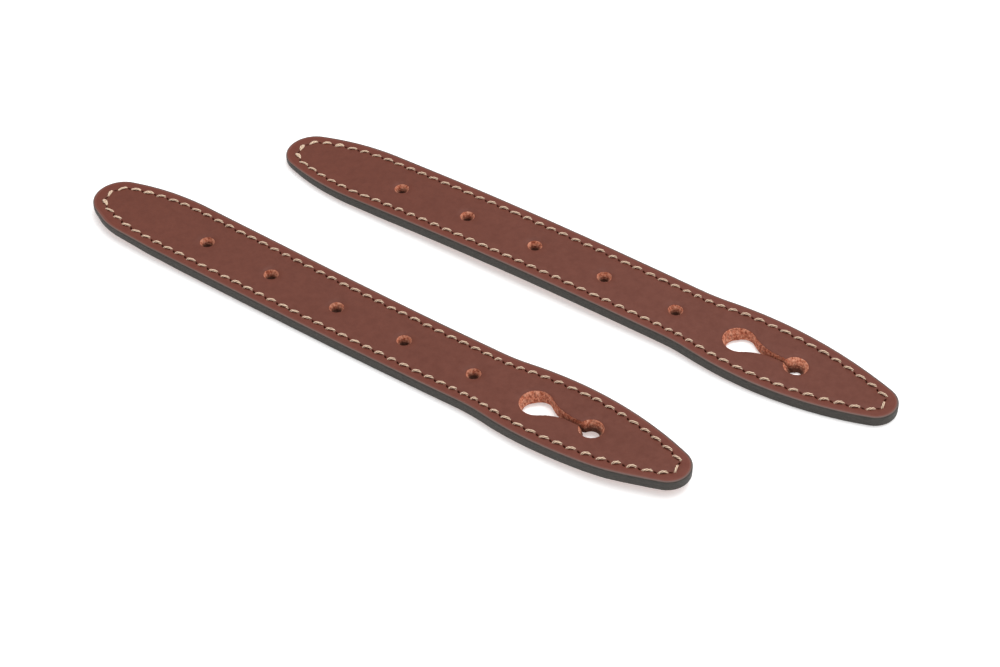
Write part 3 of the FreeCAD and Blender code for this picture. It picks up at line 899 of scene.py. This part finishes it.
def pale_floor():
    m = Nodes("pale_floor")
    coords = m.new("ShaderNodeTexCoord").outputs["Object"]
    tone = m.noise(coords, 3.0, 2.0)
    colour = m.mix(m.remap(tone, 0.3, 0.7, 0.0, 1.0), (0.90, 0.90, 0.90, 1), (0.92, 0.92, 0.92, 1))
    return m.set(Base_Color=colour, Roughness=0.9, Specular_IOR_Level=0.1,
                 Emission_Color=(1.0, 0.985, 0.98, 1), Emission_Strength=0.42)


TOP = grained_leather("top_leather", srgb(107, 56, 42), srgb(115, 62, 48), srgb(90, 45, 34))
LININGS = grained_leather("lining_leather", srgb(138, 84, 62), srgb(150, 95, 71), srgb(116, 68, 50))
RAW = raw_leather("raw_leather", srgb(206, 122, 92), srgb(240, 182, 154), srgb(132, 66, 46))
PAINT = painted_edge("edge_paint")
THREAD = beige_thread("thread")


# ---- one strap ----

# rows of wall from a layer's top face down: (out into the leather, share of the way down, is it raw)
TOP_OUTER = [
    (0.52, 0.0, 0), (0.40, 0.035, 0), (0.30, 0.08, 0), (0.23, 0.14, 0), (0.2, 0.22, 0), (0.2, 1.0, 0),
]
LINING_OUTER = [(0.2, 0.0, 0), (0.2, 0.5, 0), (0.24, 0.9, 0), (0.42, 1.0, 0)]
TOP_CUT = [
    (0.22, 0.0, 0), (0.10, 0.012, 0), (0.0, 0.045, 0), (-0.10, 0.11, 1), (-0.20, 0.2, 1), (-0.31, 0.32, 1),
    (-0.42, 0.46, 1), (-0.53, 0.6, 1), (-0.64, 0.73, 1), (-0.75, 0.87, 1), (-0.84, 1.0, 1),
]
LINING_CUT = [
    (-0.84, 0.0, 1), (-0.95, 0.16, 1), (-1.05, 0.32, 1), (-1.14, 0.48, 1), (-1.23, 0.63, 1),
    (-1.31, 0.77, 1), (-1.35, 0.89, 1), (-1.28, 0.97, 1), (-1.1, 1.0, 1),
]
SLIT_DOWN = [(0.06, 0.0, 0), (0.0, 0.12, 0), (-0.02, 0.5, 0), (-0.02, 1.0, 0)]


def top_face(points):
    """How high the top layer's face lies at some points. The three below are for the layers' other faces."""
    return THICK - relief(points)


def top_underside(points):
    return np.full(len(points), LINING)


def lining_face(points):
    return np.full(len(points), LINING - 0.01)


def lining_underside(points):
    """Flat, but for the groove that the lower thread lies in."""
    return 0.66 * np.exp(-((distance(points, STITCH_LINE) / 0.9) ** 4))


def build_strap(side, strap):
    rng = np.random.default_rng(strap["seed"])
    top = plate(side + "_top", strap, rng, (TOP_OUTER, TOP_CUT), (top_face, top_underside), TOP)
    lining_walls = (LINING_OUTER, LINING_CUT)
    lining = plate(side + "_lining", strap, rng, lining_walls, (lining_face, lining_underside), LININGS)
    paint = edge_band(side + "_paint", strap, rng, PAINT)
    needle = needle_thread(side + "_stitches", strap, rng, THREAD)
    bobbin = bobbin_thread(side + "_under_stitches", strap, rng, THREAD)
    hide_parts(side + "_top_leather", side + "_top_leather_tab")
    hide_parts(side + "_lining_leather", side + "_lining_leather_tab")
    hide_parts(side + "_edge_paint")
    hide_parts(side + "_needle_thread")
    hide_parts(side + "_bobbin_thread")
    ends = place(strap, [(FLEX_X - FLEX_HALF, 0, THICK), (FLEX_X + FLEX_HALF, 0, THICK)])
    for piece in (top, lining, paint, needle, bobbin):
        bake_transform(piece)


for side, strap in STRAPS.items():
    build_strap(side, strap)


# ---- floor, light and camera ----

FLOOR_REACH, FLOOR_DROP = 3.0, 0.00005
TARGET = Vector((0.01506, -0.00965, THICK * MM))
AZIMUTH, ELEVATION, RANGE_M = 34.96, 43.39, 0.7003

corners = [(a * FLOOR_REACH, b * FLOOR_REACH, 0) for a, b in ((-1, -1), (1, -1), (1, 1), (-1, 1))]
floor_mesh = bpy.data.meshes.new("floor")
floor_mesh.from_pydata(corners, [], [(0, 1, 2, 3)])
floor_mesh.materials.append(pale_floor())
floor = bpy.data.objects.new("floor", floor_mesh)
floor.location.z = -FLOOR_DROP
bpy.context.scene.collection.objects.link(floor)


def facing(name, data, target, azimuth, elevation, distance_m):
    """A camera or light that looks at a point from an azimuth and elevation in degrees."""
    a, e = math.radians(azimuth), math.radians(elevation)
    back = Vector((math.sin(a) * math.cos(e), -math.cos(a) * math.cos(e), math.sin(e)))
    obj = bpy.data.objects.new(name, data)
    obj.location = target + back * distance_m
    obj.rotation_mode = "QUATERNION"
    obj.rotation_quaternion = back.to_track_quat("Z", "Y")
    bpy.context.scene.collection.objects.link(obj)
    return obj


def soft_light(name, azimuth, elevation, distance_m, size, power):
    data = bpy.data.lights.new(name, "AREA")
    data.shape = "DISK"
    data.size = size
    data.energy = power
    facing(name, data, Vector((0, 0, 0)), azimuth, elevation, distance_m)


soft_light("key", AZIMUTH + 150, 70, 1.6, 1.6, 20)
soft_light("fill", AZIMUTH + 60, 50, 1.8, 1.6, 6)

world = bpy.data.worlds.new("studio")
world.use_nodes = True
sky = world.node_tree.nodes["Background"]
sky.inputs["Color"].default_value = (1, 1, 1, 1)
sky.inputs["Strength"].default_value = 0.45
bpy.context.scene.world = world

camera_data = bpy.data.cameras.new("camera")
camera_data.lens = 85.75
camera_data.sensor_width = 36.0
camera_data.clip_start = 0.05
camera_data.clip_end = 20
bpy.context.scene.camera = facing("camera", camera_data, TARGET, AZIMUTH, ELEVATION, RANGE_M)
bpy.context.scene.view_settings.view_transform = "Standard"
